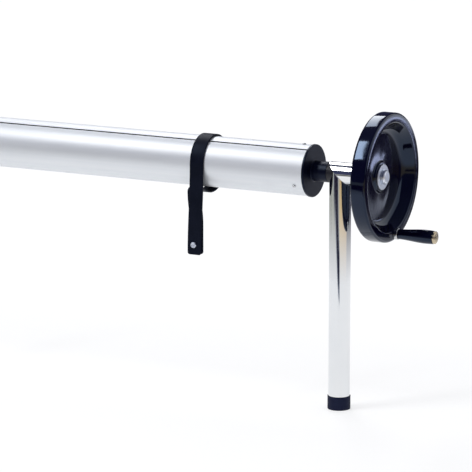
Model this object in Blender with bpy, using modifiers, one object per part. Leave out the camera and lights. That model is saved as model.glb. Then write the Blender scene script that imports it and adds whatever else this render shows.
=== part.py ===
"""Pool cover reel: a roller tube on two single-post stands, turned by a handwheel with a crank grip.

World axes: +X runs along the roller to the handwheel, +Z is up, -Y is the front.
The floor is Z = 0 and the middle of the whole reel is X = 0, Y = 0. All sizes are in metres.
"""
import math

import bmesh
import bpy
from mathutils import Vector

MM = 0.001

# Clearance between pieces that sit on or in each other
GAP = 0.3 * MM

# Roller
AXIS_HEIGHT = 466.5 * MM
ROLLER_LENGTH = 2400 * MM
ROLLER_RADIUS = 50 * MM
ROLLER_WALL = 2.5 * MM
GROOVE_WIDTH = 2.4 * MM
GROOVE_DEPTH = 1.2 * MM
GROOVE_ANGLE = 62

# End caps, the same at both ends
CAP_FLANGE_RADIUS = 51.5 * MM
CAP_FLANGE_THICKNESS = 5 * MM
CAP_SPIGOT_LENGTH = 40 * MM
CAP_WALL = 4 * MM
CAP_HUB_RADIUS = 20 * MM
CAP_SLEEVE_WALL = 5 * MM
CAP_EDGE_ROUND = 1.5 * MM
CAP_HUB_EDGE_ROUND = 0.8 * MM
CAP_HUB_ROOT_ROUND = 2 * MM
CAP_FACE_TO_POST = 54.7 * MM
CAP_SCREW_COUNT = 3
CAP_SCREW_FIRST_ANGLE = -29.6
CAP_SCREW_FROM_END = 17.9 * MM
CAP_SCREW_RADIUS = 2 * MM
CAP_SCREW_HEAD_RADIUS = 3.6 * MM
CAP_SCREW_HEAD_HEIGHT = 1.8 * MM
CAP_SCREW_HEAD_ROUND = 1.2 * MM

# Stands: a post and a level bearing tube, joined at 45 degrees
POST_RADIUS = 21.2 * MM
POST_WALL = 1.5 * MM
BEARING_TUBE_REACH = 41.4 * MM
FOOT_WALL = 1.0 * MM
FOOT_HEIGHT = 26.5 * MM
FOOT_BASE = 4 * MM

# Shafts and their bushes
SHAFT_RADIUS = 12.5 * MM
SHAFT_IN_CAP = 32 * MM
SHAFT_CHAMFER = 1 * MM
SHAFT_SET_IN = 1 * MM
BUSH_STAND_OUT = 0.8 * MM
INNER_BUSH_LENGTH = 30 * MM
OUTER_BUSH_LENGTH = 20 * MM
BUSH_FLANGE = 3 * MM
PIN_RADIUS = 3 * MM
PIN_FROM_CAP_FACE = 16.2 * MM
PIN_CHAMFER = 0.5 * MM

# Handwheel, measured outwards from the bearing tube
WHEEL_RADIUS = 125 * MM
WHEEL_RIM_WIDTH = 32 * MM
WHEEL_RIM_DEPTH = 19 * MM
WHEEL_HUB_LENGTH = 43 * MM
WHEEL_HUB_RADIUS = 21 * MM
WHEEL_BOSS_RADIUS = 28 * MM
WHEEL_DISH = 22 * MM
WHEEL_WEB = 7 * MM
WHEEL_WEB_SETBACK = 4 * MM
WHEEL_BOSS_TAPER = 3 * MM
WHEEL_BOWL_SLOPE = 12 * MM
WHEEL_BOWL_ROUND = 18 * MM
WHEEL_EDGE_ROUND = 5 * MM
WHEEL_LIP_ROUND = 3 * MM
KEY_WIDTH = 8 * MM
KEY_HEIGHT = 7 * MM
KEY_IN_SHAFT = 4 * MM
KEY_LENGTH = 28 * MM
HUB_WASHER_RADIUS = 24.5 * MM
HUB_WASHER_THICKNESS = 3 * MM
HUB_WASHER_ROUND = 1 * MM
HUB_BOLT_RADIUS = 6 * MM
HUB_BOLT_DEPTH = 25 * MM
HUB_BOLT_HEAD_RADIUS = 14 * MM
HUB_BOLT_HEAD_HEIGHT = 8 * MM
HUB_BOLT_HEAD_ROUND = 5 * MM

# Crank grip on the rim
HANDLE_FROM_RIM = 12.5 * MM
HANDLE_ANGLE = 8
SPINDLE_THREAD_RADIUS = 5 * MM
SPINDLE_RADIUS = 5.5 * MM
SPINDLE_COLLAR_RADIUS = 11 * MM
SPINDLE_COLLAR_LENGTH = 7.5 * MM
SPINDLE_TIP_RADIUS = 4 * MM
SPINDLE_TIP_LENGTH = 4 * MM
SPINDLE_PAST_NUT = 2 * MM
SPINDLE_NUT_FLATS = 17 * MM
SPINDLE_NUT_THICKNESS = 8 * MM
SPINDLE_NUT_FLAT_COUNT = 6
GRIP_LENGTH = 73.5 * MM
GRIP_SMALL_RADIUS = 9.8 * MM
GRIP_LARGE_RADIUS = 13.4 * MM
GRIP_END_RADIUS = 12.7 * MM
GRIP_WIDEST_AT = 0.78
GRIP_RING_COUNT = 12
END_CAP_RADIUS = 12.3 * MM
END_CAP_RIM = 3 * MM
END_CAP_DOME = 2.6 * MM
END_CAP_DOME_ROUND = 6 * MM
END_CAP_EDGE_ROUND = 1 * MM

# Straps that hold the cover, spread evenly between the two end ones
STRAP_COUNT = 4
STRAP_FROM_POST = 287 * MM
STRAP_WIDTH = 30 * MM
STRAP_THICKNESS = 3 * MM
STRAP_LIFT = 1.2 * MM
STRAP_TAIL_DROP = 179 * MM
STRAP_BACK_TAIL_DROP = 177 * MM
STRAP_LEAVES_AT = 215
STRAP_SLACK_HANG = 9 * MM
STRAP_TURN_RISE = 10.5 * MM
STRAP_BEND_RADIUS = 6 * MM
STRAP_SETTLES_AT = 117 * MM
SNAP_DROP = 159 * MM
SNAP_CAP_RADIUS = 6 * MM
SNAP_CAP_HEIGHT = 2.4 * MM
SNAP_CAP_ROUND = 1.8 * MM
SNAP_SHANK_RADIUS = 1.6 * MM
SNAP_SOCKET_RADIUS = 5.5 * MM
SNAP_SOCKET_HEIGHT = 2.4 * MM

# How far along the roller each stretch of a strap sits from the strap's middle
STRAP_LOOP_ASIDE = 1 * MM
STRAP_TAIL_ASIDE = -4.4 * MM
STRAP_BEND_ASIDE = -6 * MM
STRAP_BACK_ASIDE = -1.5 * MM
SNAP_ASIDE = -5.5 * MM

# Facets round a full turn
FINE_COUNT = 64
MEDIUM_COUNT = 44
COARSE_COUNT = 32
SMALL_COUNT = 24

# Places that follow from the sizes above
HANDLE_CENTRE_RADIUS = WHEEL_RADIUS - HANDLE_FROM_RIM
POST_SPACING = ROLLER_LENGTH + 2 * (CAP_FLANGE_THICKNESS + CAP_FACE_TO_POST)
POST_BORE = POST_RADIUS - POST_WALL
BUSH_RADIUS = POST_BORE - GAP
BUSH_BORE = SHAFT_RADIUS + GAP
BUSH_INNER_END = POST_RADIUS + BUSH_STAND_OUT
BUSH_OUTER_FACE = BEARING_TUBE_REACH + GAP + BUSH_FLANGE
WHEEL_BACK = BUSH_OUTER_FACE + GAP
WHEEL_HUB_FACE = WHEEL_BACK + WHEEL_HUB_LENGTH
WHEEL_FRONT = WHEEL_HUB_FACE + WHEEL_DISH
SPINDLE_SHOULDER = GAP + SPINDLE_COLLAR_LENGTH + GAP + GRIP_LENGTH + GAP
HANDLE_REACH = SPINDLE_SHOULDER + GAP + END_CAP_RIM + END_CAP_DOME
RIGHT_REACH = WHEEL_FRONT + HANDLE_REACH
LEFT_REACH = BUSH_OUTER_FACE
WHOLE_LENGTH = LEFT_REACH + POST_SPACING + RIGHT_REACH
RIGHT_POST_X = WHOLE_LENGTH / 2 - RIGHT_REACH
LEFT_POST_X = RIGHT_POST_X - POST_SPACING
ROLLER_MIDDLE_X = (LEFT_POST_X + RIGHT_POST_X) / 2
CAP_HUB_LENGTH = CAP_FACE_TO_POST - BUSH_INNER_END - GAP
STRAP_MIDDLE_RADIUS = ROLLER_RADIUS + GAP + STRAP_THICKNESS / 2
STRAP_LAYER_STEP = STRAP_THICKNESS + GAP
STRAP_SLACK_DROP = ROLLER_RADIUS + STRAP_SLACK_HANG
STRAP_TURN_DROP = STRAP_SLACK_DROP - STRAP_TURN_RISE

# Colour, metallic and roughness of each kind of surface
FINISHES = {
    "aluminium": ((0.78, 0.82, 0.86), 1.0, 0.30),
    "stainless": ((0.72, 0.73, 0.75), 1.0, 0.12),
    "steel": ((0.60, 0.60, 0.58), 1.0, 0.25),
    "gloss_black": ((0.012, 0.013, 0.022), 0.0, 0.12),
    "cap_black": ((0.018, 0.020, 0.028), 0.0, 0.35),
    "nylon": ((0.020, 0.020, 0.024), 0.0, 0.45),
    "strap_rubber": ((0.014, 0.014, 0.022), 0.0, 0.55),
    "foot_rubber": ((0.022, 0.023, 0.032), 0.0, 0.60),
}


def clear_scene():
    """Removes everything that the start-up file holds."""
    for thing in list(bpy.data.objects):
        bpy.data.objects.remove(thing, do_unlink=True)


def new_collection(name, hidden=False):
    """Makes a collection in the scene."""
    group = bpy.data.collections.new(name)
    bpy.context.scene.collection.children.link(group)
    group.hide_render = hidden
    return group


def give_finish(thing, finish):
    """Gives an object a material of its own."""
    colour, metallic, roughness = FINISHES[finish]
    material = bpy.data.materials.new(thing.name + "_" + finish)
    material.use_nodes = True
    shader = material.node_tree.nodes["Principled BSDF"]
    shader.inputs["Base Color"].default_value = (*colour, 1)
    shader.inputs["Metallic"].default_value = metallic
    shader.inputs["Roughness"].default_value = roughness
    thing.data.materials.append(material)


def add_object(name, mesh, finish, parent=None):
    """Links a mesh as a named piece, or as a cutter where it has no finish."""
    thing = bpy.data.objects.new(name, mesh)
    if finish:
        parts.objects.link(thing)
        give_finish(thing, finish)
    else:
        cutters.objects.link(thing)
        thing.display_type = "WIRE"
        thing.hide_render = True
    thing.parent = parent
    return thing


def arc_corner(before, corner, after, radius):
    """Points of an arc that rounds one corner of an outline, more of them on a larger arc."""
    steps = 2 + round(radius / (4 * MM))
    to_before = (before - corner).normalized()
    to_after = (after - corner).normalized()
    half = to_before.angle(to_after) / 2
    reach = radius / math.tan(half)
    centre = corner + (to_before + to_after).normalized() * (radius / math.sin(half))
    start = corner + to_before * reach - centre
    end = corner + to_after * reach - centre
    sweep = start.angle_signed(end)
    points = []
    for step in range(steps + 1):
        turn = -sweep * step / steps
        points.append(centre + Vector((start.x * math.cos(turn) - start.y * math.sin(turn),
                                       start.x * math.sin(turn) + start.y * math.cos(turn))))
    return points


def rounded(corners):
    """Outline of (radius, height) points from corners that may carry a rounding radius."""
    points = []
    for index, corner in enumerate(corners):
        here = Vector(corner[:2])
        if len(corner) == 2:
            points.append(here)
            continue
        before = Vector(corners[index - 1][:2])
        after = Vector(corners[(index + 1) % len(corners)][:2])
        points.extend(arc_corner(before, here, after, corner[2]))
    return points


def turned(name, outline, finish, parent=None, facets=MEDIUM_COUNT):
    """Solid turned about its own Z. The outline runs out along the top, down and back in."""
    points = [(p[0], 0, p[1]) for p in outline]
    edges = [(i, i + 1) for i in range(len(points) - 1)]
    if points[0][0] > 0:
        edges.append((len(points) - 1, 0))
    mesh = bpy.data.meshes.new(name)
    mesh.from_pydata(points, edges, [])
    thing = add_object(name, mesh, finish, parent)
    screw = thing.modifiers.new("turn", "SCREW")
    screw.axis = "Z"
    screw.angle = math.tau
    screw.steps = facets
    screw.render_steps = facets
    screw.use_merge_vertices = True
    screw.merge_threshold = 0.00001
    screw.use_smooth_shade = False
    return thing


def ring_outline(outer, inner, low, high):
    """Outline of a plain ring or tube."""
    return [(inner, high), (outer, high), (outer, low), (inner, low)]


def rod_outline(radius, low, high, chamfer=0.0):
    """Outline of a solid rod with chamfered ends."""
    if chamfer == 0:
        return [(0, high), (radius, high), (radius, low), (0, low)]
    return [(0, high), (radius - chamfer, high), (radius, high - chamfer),
            (radius, low + chamfer), (radius - chamfer, low), (0, low)]


def box(name, low, high, finish, parent=None):
    """Box between two corners."""
    mesh = bpy.data.meshes.new(name)
    shape = bmesh.new()
    bmesh.ops.create_cube(shape, size=1)
    size = [b - a for a, b in zip(low, high)]
    middle = [(a + b) / 2 for a, b in zip(low, high)]
    bmesh.ops.scale(shape, vec=size, verts=shape.verts)
    bmesh.ops.translate(shape, vec=middle, verts=shape.verts)
    shape.to_mesh(mesh)
    shape.free()
    return add_object(name, mesh, finish, parent)


def cut(target, cutter):
    """Takes the cutter's shape out of the target."""
    boolean = target.modifiers.new("cut_" + cutter.name, "BOOLEAN")
    boolean.operation = "DIFFERENCE"
    boolean.solver = "EXACT"
    boolean.object = cutter


def point_outwards(thing, side):
    """Turns an object's own Z to point along the roller, away from its middle."""
    thing.rotation_euler = (0, side * math.pi / 2, 0)


def point_off_roller(thing, angle):
    """Turns an object's own Z to point away from the roller, at degrees above the front."""
    thing.rotation_euler = (math.radians(90 - angle), 0, 0)


def add_axis(name, place, parent=None):
    """Empty that stands on a joint's axis."""
    empty = bpy.data.objects.new(name, None)
    parts.objects.link(empty)
    empty.location = place
    empty.parent = parent
    return empty


def add_stand(side_name, side, post_x):
    """Post, bearing tube, foot and bushes of one stand. Returns its centre on the roller axis."""
    centre = (post_x, 0, AXIS_HEIGHT)
    post = turned(side_name + "_post",
                  ring_outline(POST_RADIUS, POST_BORE, FOOT_BASE + GAP, AXIS_HEIGHT + POST_RADIUS),
                  "stainless")
    post.location = (post_x, 0, 0)
    bearing_tube = turned(side_name + "_bearing_tube",
                          ring_outline(POST_RADIUS, POST_BORE, -POST_RADIUS, BEARING_TUBE_REACH),
                          "stainless")
    bearing_tube.location = centre
    point_outwards(bearing_tube, side)

    # The joint between post and bearing tube leans at 45 degrees
    size = 4 * POST_RADIUS
    above = box(side_name + "_mitre_above", (-size, -size, GAP / -2), (size, size, size), None)
    below = box(side_name + "_mitre_below", (-size, -size, -size), (size, size, GAP / 2), None)
    for cutter in (above, below):
        cutter.location = centre
        cutter.rotation_euler = (0, side * math.pi / 4, 0)
    cut(post, above)
    cut(bearing_tube, below)
    bush_hole = turned(side_name + "_bush_hole", rod_outline(POST_BORE, -2 * POST_RADIUS, 0), None)
    bush_hole.location = centre
    point_outwards(bush_hole, side)
    cut(post, bush_hole)

    foot_radius = POST_RADIUS + GAP + FOOT_WALL
    foot = turned(side_name + "_foot",
                  [(0, FOOT_BASE), (POST_RADIUS + GAP, FOOT_BASE), (POST_RADIUS + GAP, FOOT_HEIGHT),
                   (foot_radius, FOOT_HEIGHT), (foot_radius, 0), (0, 0)],
                  "foot_rubber")
    foot.location = (post_x, 0, 0)

    inner_bush = turned(side_name + "_inner_bush",
                        ring_outline(BUSH_RADIUS, BUSH_BORE, -BUSH_INNER_END,
                                     INNER_BUSH_LENGTH - BUSH_INNER_END),
                        "nylon", facets=COARSE_COUNT)
    inner_bush.location = centre
    point_outwards(inner_bush, side)
    return centre


def add_outer_bush(side_name, side, centre, closed):
    """Flanged bush in the open end of a bearing tube; a closed one covers the shaft's end."""
    flange_low = BEARING_TUBE_REACH + GAP
    spigot_end = flange_low - OUTER_BUSH_LENGTH
    outside = [(POST_RADIUS, BUSH_OUTER_FACE), (POST_RADIUS, flange_low),
               (BUSH_RADIUS, flange_low), (BUSH_RADIUS, spigot_end), (BUSH_BORE, spigot_end)]
    if closed:
        outline = [(0, BUSH_OUTER_FACE)] + outside + [(BUSH_BORE, flange_low), (0, flange_low)]
    else:
        outline = [(BUSH_BORE, BUSH_OUTER_FACE)] + outside
    bush = turned(side_name + "_outer_bush", outline, "nylon", facets=COARSE_COUNT)
    bush.location = centre
    point_outwards(bush, side)


def add_roller_tube():
    """Aluminium tube with a groove along its upper front."""
    half = ROLLER_LENGTH / 2
    tube = turned("roller_tube",
                  ring_outline(ROLLER_RADIUS, ROLLER_RADIUS - ROLLER_WALL, -half, half),
                  "aluminium", roller_axis, FINE_COUNT)
    point_outwards(tube, 1)
    groove = box("roller_groove",
                 (-half - GAP, -GROOVE_WIDTH / 2, ROLLER_RADIUS - GROOVE_DEPTH),
                 (half + GAP, GROOVE_WIDTH / 2, ROLLER_RADIUS + GROOVE_DEPTH), None, roller_axis)
    point_off_roller(groove, GROOVE_ANGLE)
    cut(tube, groove)
    return tube


def add_end_cap(side_name, side, tube):
    """End cap with its hub, the screws that hold it and the pin that holds its shaft."""
    face_x = side * (ROLLER_LENGTH / 2 + CAP_FLANGE_THICKNESS)
    spigot = ROLLER_RADIUS - ROLLER_WALL - GAP
    sleeve = SHAFT_RADIUS + GAP + CAP_SLEEVE_WALL
    back = -CAP_FLANGE_THICKNESS
    inner_end = back - CAP_SPIGOT_LENGTH
    cap = turned(side_name + "_end_cap",
                 rounded([(SHAFT_RADIUS + GAP, CAP_HUB_LENGTH),
                          (CAP_HUB_RADIUS, CAP_HUB_LENGTH, CAP_HUB_EDGE_ROUND),
                          (CAP_HUB_RADIUS, 0, CAP_HUB_ROOT_ROUND),
                          (CAP_FLANGE_RADIUS, 0, CAP_EDGE_ROUND),
                          (CAP_FLANGE_RADIUS, back + GAP),
                          (spigot, back + GAP),
                          (spigot, inner_end),
                          (spigot - CAP_WALL, inner_end),
                          (spigot - CAP_WALL, back - CAP_WALL),
                          (sleeve, back - CAP_WALL),
                          (sleeve, inner_end),
                          (SHAFT_RADIUS + GAP, inner_end)]),
                 "cap_black", roller_axis)
    cap.location = (face_x, 0, 0)
    point_outwards(cap, side)

    screw_x = side * (ROLLER_LENGTH / 2 - CAP_SCREW_FROM_END)
    tip = spigot - CAP_WALL
    seat = ROLLER_RADIUS + GAP
    for number in range(CAP_SCREW_COUNT):
        angle = CAP_SCREW_FIRST_ANGLE + number * 360 / CAP_SCREW_COUNT
        head_top = seat + CAP_SCREW_HEAD_HEIGHT
        screw = turned(f"{side_name}_cap_screw_{number + 1}",
                       rounded([(0, head_top),
                                (CAP_SCREW_HEAD_RADIUS, head_top, CAP_SCREW_HEAD_ROUND),
                                (CAP_SCREW_HEAD_RADIUS, seat),
                                (CAP_SCREW_RADIUS, seat),
                                (CAP_SCREW_RADIUS, tip),
                                (0, tip)]),
                       "steel", roller_axis, SMALL_COUNT // 2)
        hole = turned(f"{side_name}_cap_screw_hole_{number + 1}",
                      rod_outline(CAP_SCREW_RADIUS + GAP, tip - CAP_WALL, head_top),
                      None, roller_axis, SMALL_COUNT // 2)
        for piece in (screw, hole):
            piece.location = (screw_x, 0, 0)
            point_off_roller(piece, angle)
        cut(tube, hole)
        cut(cap, hole)
    return cap


def add_shaft(name, side, cap, shaft_end):
    """Shaft pinned in an end cap's hub. The end is measured outwards from the post's axis."""
    face_x = side * (ROLLER_LENGTH / 2 + CAP_FLANGE_THICKNESS)
    shaft = turned(name,
                   rod_outline(SHAFT_RADIUS, -CAP_FLANGE_THICKNESS - SHAFT_IN_CAP,
                               CAP_FACE_TO_POST + shaft_end, SHAFT_CHAMFER),
                   "steel", roller_axis, COARSE_COUNT)
    shaft.location = (face_x, 0, 0)
    point_outwards(shaft, side)

    pin_reach = CAP_HUB_RADIUS - GAP
    pin = turned(name.replace("shaft", "shaft_pin"),
                 rod_outline(PIN_RADIUS, -pin_reach, pin_reach, PIN_CHAMFER),
                 "steel", roller_axis, SMALL_COUNT)
    hole = turned(name + "_pin_hole",
                  rod_outline(PIN_RADIUS + GAP, -2 * CAP_HUB_RADIUS, 2 * CAP_HUB_RADIUS),
                  None, roller_axis, SMALL_COUNT)
    for piece in (pin, hole):
        piece.location = (face_x + side * PIN_FROM_CAP_FACE, 0, 0)
    cut(cap, hole)
    cut(shaft, hole)
    return shaft


def wheel_outline():
    """Section of the dished handwheel, heights measured from its hub's back face."""
    face = WHEEL_HUB_LENGTH
    front = face + WHEEL_DISH
    back = front - WHEEL_RIM_WIDTH
    rim_inside = WHEEL_RADIUS - WHEEL_RIM_DEPTH
    web_front = face - WHEEL_WEB_SETBACK
    web_back = web_front - WHEEL_WEB
    bowl_edge = rim_inside - WHEEL_BOWL_SLOPE
    bore = SHAFT_RADIUS + GAP
    return rounded([(bore, face),
                    (WHEEL_BOSS_RADIUS, face, WHEEL_LIP_ROUND / 2),
                    (WHEEL_BOSS_RADIUS + WHEEL_BOSS_TAPER, web_front, WHEEL_LIP_ROUND),
                    (bowl_edge, web_front, WHEEL_BOWL_ROUND),
                    (rim_inside, front, WHEEL_LIP_ROUND),
                    (WHEEL_RADIUS, front, WHEEL_EDGE_ROUND),
                    (WHEEL_RADIUS, back, WHEEL_EDGE_ROUND),
                    (rim_inside + WHEEL_LIP_ROUND, back, WHEEL_LIP_ROUND / 2),
                    (bowl_edge + WHEEL_WEB, web_back + WHEEL_LIP_ROUND, WHEEL_LIP_ROUND),
                    (WHEEL_BOSS_RADIUS, web_back, WHEEL_EDGE_ROUND),
                    (WHEEL_HUB_RADIUS, 0, WHEEL_LIP_ROUND / 2),
                    (bore, 0)])


def add_handwheel(shaft):
    """Handwheel with its key, washer and bolt, on the end of the drive shaft."""
    post_x = POST_SPACING / 2
    wheel = turned("handwheel", wheel_outline(), "gloss_black", roller_axis)
    wheel.location = (post_x + WHEEL_BACK, 0, 0)
    point_outwards(wheel, 1)

    key_low = SHAFT_RADIUS - KEY_IN_SHAFT
    key_start = post_x + WHEEL_BACK + (WHEEL_HUB_LENGTH - KEY_LENGTH) / 2
    key_end = key_start + KEY_LENGTH
    box("wheel_key", (key_start, -KEY_WIDTH / 2, key_low),
        (key_end, KEY_WIDTH / 2, key_low + KEY_HEIGHT), "steel", roller_axis)
    key_side = KEY_WIDTH / 2 + GAP
    shaft_slot = box("shaft_keyway", (key_start - GAP, -key_side, key_low - GAP),
                     (key_end + GAP, key_side, 2 * SHAFT_RADIUS), None, roller_axis)
    hub_slot = box("hub_keyway", (post_x, -key_side, 0),
                   (post_x + 2 * WHEEL_FRONT, key_side, key_low + KEY_HEIGHT + GAP),
                   None, roller_axis)
    cut(shaft, shaft_slot)
    cut(wheel, hub_slot)

    washer_low = WHEEL_HUB_FACE + GAP
    washer_high = washer_low + HUB_WASHER_THICKNESS
    washer = turned("hub_washer",
                    rounded([(HUB_BOLT_RADIUS + GAP, washer_high),
                             (HUB_WASHER_RADIUS, washer_high, HUB_WASHER_ROUND),
                             (HUB_WASHER_RADIUS, washer_low),
                             (HUB_BOLT_RADIUS + GAP, washer_low)]),
                    "steel", roller_axis, COARSE_COUNT)
    head_low = washer_high + GAP
    head_high = head_low + HUB_BOLT_HEAD_HEIGHT
    bolt_end = WHEEL_HUB_FACE - HUB_BOLT_DEPTH
    bolt = turned("hub_bolt",
                  rounded([(0, head_high),
                           (HUB_BOLT_HEAD_RADIUS, head_high, HUB_BOLT_HEAD_ROUND),
                           (HUB_BOLT_HEAD_RADIUS, head_low),
                           (HUB_BOLT_RADIUS, head_low),
                           (HUB_BOLT_RADIUS, bolt_end),
                           (0, bolt_end)]),
                  "steel", roller_axis, SMALL_COUNT)
    bolt_hole = turned("hub_bolt_hole",
                       rod_outline(HUB_BOLT_RADIUS + GAP, bolt_end - GAP, head_high),
                       None, roller_axis, SMALL_COUNT)
    for piece in (washer, bolt, bolt_hole):
        piece.location = (post_x, 0, 0)
        point_outwards(piece, 1)
    cut(shaft, bolt_hole)
    return wheel


def eased(start, end, share):
    """Value that leaves start and reaches end smoothly."""
    return start + (end - start) * (1 - math.cos(math.pi * share)) / 2


def grip_radius(share):
    """Radius of the grip at a share of its length, from the wheel outwards."""
    if share < GRIP_WIDEST_AT:
        return eased(GRIP_SMALL_RADIUS, GRIP_LARGE_RADIUS, share / GRIP_WIDEST_AT)
    past = (share - GRIP_WIDEST_AT) / (1 - GRIP_WIDEST_AT)
    return GRIP_LARGE_RADIUS + (GRIP_END_RADIUS - GRIP_LARGE_RADIUS) * past * past


def add_handle(wheel):
    """Crank grip that turns on a spindle fixed in the wheel's rim."""
    spindle_back = -WHEEL_RIM_WIDTH - GAP - SPINDLE_NUT_THICKNESS - SPINDLE_PAST_NUT
    collar_end = GAP + SPINDLE_COLLAR_LENGTH
    spindle = turned("handle_spindle",
                     [(0, SPINDLE_SHOULDER + SPINDLE_TIP_LENGTH),
                      (SPINDLE_TIP_RADIUS, SPINDLE_SHOULDER + SPINDLE_TIP_LENGTH),
                      (SPINDLE_TIP_RADIUS, SPINDLE_SHOULDER),
                      (SPINDLE_RADIUS, SPINDLE_SHOULDER),
                      (SPINDLE_RADIUS, collar_end),
                      (SPINDLE_COLLAR_RADIUS, collar_end),
                      (SPINDLE_COLLAR_RADIUS, GAP),
                      (SPINDLE_THREAD_RADIUS, GAP),
                      (SPINDLE_THREAD_RADIUS, spindle_back),
                      (0, spindle_back)],
                     "steel", handle_axis, SMALL_COUNT)

    nut_high = -WHEEL_RIM_WIDTH - GAP
    nut = turned("handle_nut",
                 rod_outline(SPINDLE_NUT_FLATS / 2 / math.cos(math.pi / SPINDLE_NUT_FLAT_COUNT),
                             nut_high - SPINDLE_NUT_THICKNESS, nut_high),
                 "steel", handle_axis, SPINDLE_NUT_FLAT_COUNT)

    cap_low = SPINDLE_SHOULDER + GAP
    cap_high = cap_low + END_CAP_RIM + END_CAP_DOME
    end_cap = turned("handle_end_cap",
                     rounded([(0, cap_high),
                              (0.7 * END_CAP_RADIUS, cap_high - 0.3 * END_CAP_DOME, END_CAP_DOME_ROUND),
                              (END_CAP_RADIUS, cap_low + END_CAP_RIM, END_CAP_EDGE_ROUND),
                              (END_CAP_RADIUS, cap_low),
                              (SPINDLE_TIP_RADIUS + GAP, cap_low),
                              (SPINDLE_TIP_RADIUS + GAP, SPINDLE_SHOULDER + SPINDLE_TIP_LENGTH + GAP),
                              (0, SPINDLE_SHOULDER + SPINDLE_TIP_LENGTH + GAP)]),
                     "steel", handle_axis, SMALL_COUNT)

    grip_low = collar_end + GAP
    stations = [1 - ring / GRIP_RING_COUNT for ring in range(GRIP_RING_COUNT + 1)]
    outside = [(grip_radius(share), grip_low + GRIP_LENGTH * share) for share in stations]
    grip = turned("handle_grip",
                  [(SPINDLE_RADIUS + GAP, grip_low + GRIP_LENGTH)] + outside
                  + [(SPINDLE_RADIUS + GAP, grip_low)],
                  "gloss_black", grip_axis, SMALL_COUNT)

    hole = turned("handle_hole",
                  rod_outline(SPINDLE_THREAD_RADIUS + GAP, -2 * WHEEL_RIM_WIDTH, WHEEL_RIM_WIDTH),
                  None, handle_axis, SMALL_COUNT)
    for piece in (spindle, nut, end_cap, grip, hole):
        point_outwards(piece, 1)
    cut(wheel, hole)
    cut(nut, hole)


def curve_point(controls, share):
    """Point on a cubic curve with four control points."""
    rest = 1 - share
    weights = (rest ** 3, 3 * share * rest ** 2, 3 * share ** 2 * rest, share ** 3)
    return [sum(weight * control[axis] for weight, control in zip(weights, controls))
            for axis in range(2)]


def strap_stations():
    """Middle line of a strap as (aside, y, z) about the roller axis.

    It runs up the front tail, over the roller, slack under it and down behind the front tail.
    """
    radius = STRAP_MIDDLE_RADIUS
    stations = []
    tail_steps = 6
    for step in range(tail_steps):
        share = step / tail_steps
        stations.append((eased(STRAP_TAIL_ASIDE, STRAP_LOOP_ASIDE, share),
                         -radius, -STRAP_TAIL_DROP * (1 - share)))
    loop_steps = 20
    for step in range(loop_steps + 1):
        angle = math.radians(STRAP_LEAVES_AT * step / loop_steps)
        reach = radius + STRAP_LIFT * math.sin(angle) ** 2
        stations.append((STRAP_LOOP_ASIDE, -reach * math.cos(angle), reach * math.sin(angle)))

    behind = STRAP_LAYER_STEP - radius
    under = -STRAP_SLACK_DROP
    turns_at = -STRAP_TURN_DROP
    bend = STRAP_BEND_RADIUS
    lowest = (-0.15 * radius, under)
    curves = ((stations[-1][1:], (0.6 * radius, 0.75 * under), (0.3 * radius, under), lowest),
              (lowest, (-0.42 * radius, under), (-0.64 * radius, turns_at), (behind + bend, turns_at)))
    slack_steps = 5
    for number, controls in enumerate(curves):
        for step in range(1, slack_steps + 1):
            share = step / slack_steps
            stations.append((eased(STRAP_LOOP_ASIDE, STRAP_BEND_ASIDE, (number + share) / 2),
                             *curve_point(controls, share)))
    bend_steps = 4
    for step in range(1, bend_steps + 1):
        angle = math.pi / 2 * step / bend_steps
        stations.append((STRAP_BEND_ASIDE, behind + bend * (1 - math.sin(angle)),
                         turns_at - bend * (1 - math.cos(angle))))
    settles_from = bend - turns_at
    settle_steps = 4
    for step in range(1, settle_steps + 1):
        share = step / settle_steps
        stations.append((eased(STRAP_BEND_ASIDE, STRAP_BACK_ASIDE, share), behind,
                         -settles_from - (STRAP_SETTLES_AT - settles_from) * share))
    stations.append((STRAP_BACK_ASIDE, behind, -STRAP_BACK_TAIL_DROP))
    return stations


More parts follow.
